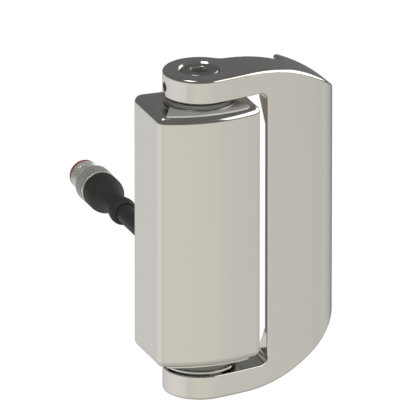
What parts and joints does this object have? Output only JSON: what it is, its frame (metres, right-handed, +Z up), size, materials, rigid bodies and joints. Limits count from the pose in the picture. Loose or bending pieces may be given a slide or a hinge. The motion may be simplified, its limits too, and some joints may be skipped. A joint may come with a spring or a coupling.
{
  "type": "safety hinge switch",
  "caption": "Metal door hinge with a built-in safety switch: a bowed fixed body between the arms of a scooped leaf, with a cable and a screw plug behind.",
  "frame": {"origin": "on the fixed body's mounting face, behind the hinge axis and level with the leaf's middle", "axes": "+Z up along the hinge, +Y out of the mounting face to the rear, +X towards the leaf's wing"},
  "size_m": [0.0817, 0.1501, 0.13],
  "materials": {
    "cast_steel": "satin",
    "pin_steel": "turned",
    "washer_plastic": "satin",
    "black_plastic": "matt",
    "black_rubber": "matt",
    "red_rubber": "satin",
    "nickel": "satin",
    "gold_contact": "polished",
    "copper_core": "insulated",
    "magnet_metal": "plated",
    "green_board": "satin"
  },
  "bodies": {
    "fixed_part": {"fixed_body": "cast_steel", "rear_cover": "cast_steel", "cover_gasket": "black_rubber", "cover_screws": "pin_steel", "sensor_board": "green_board", "sensor_head": "black_plastic", "cable_grommet": "black_rubber", "bay_cores": "copper_core", "upper_bush": "pin_steel", "lower_bush": "pin_steel", "upper_washer": "washer_plastic", "lower_washer": "washer_plastic", "spindle_seal": "black_rubber", "cable": "black_plastic", "plug_cores": "copper_core", "plug_grip": "black_plastic", "contact_carrier": "black_plastic", "contact_pins": "gold_contact", "plug_seal": "red_rubber"},
    "moving_leaf": {"leaf": "cast_steel", "upper_pin": "pin_steel", "lower_pin": "pin_steel", "grub_screw": "pin_steel", "magnet": "magnet_metal", "upper_seal": "black_rubber", "lower_seal": "black_rubber", "lower_ring": "pin_steel"},
    "nut": {"coupling_nut": "nickel"}
  },
  "joints": [
    {"name": "leaf_hinge", "type": "hinge", "parent": "fixed_part", "child": "moving_leaf", "pos_m": [0, -0.0165, 0], "axis": [0, 0, -1], "range_deg": [0, 180]},
    {"name": "nut_turn", "type": "hinge", "parent": "fixed_part", "child": "nut", "pos_m": [0, 0.102, -0.0227], "axis": [0, 1, 0], "continuous": true}
  ]
}
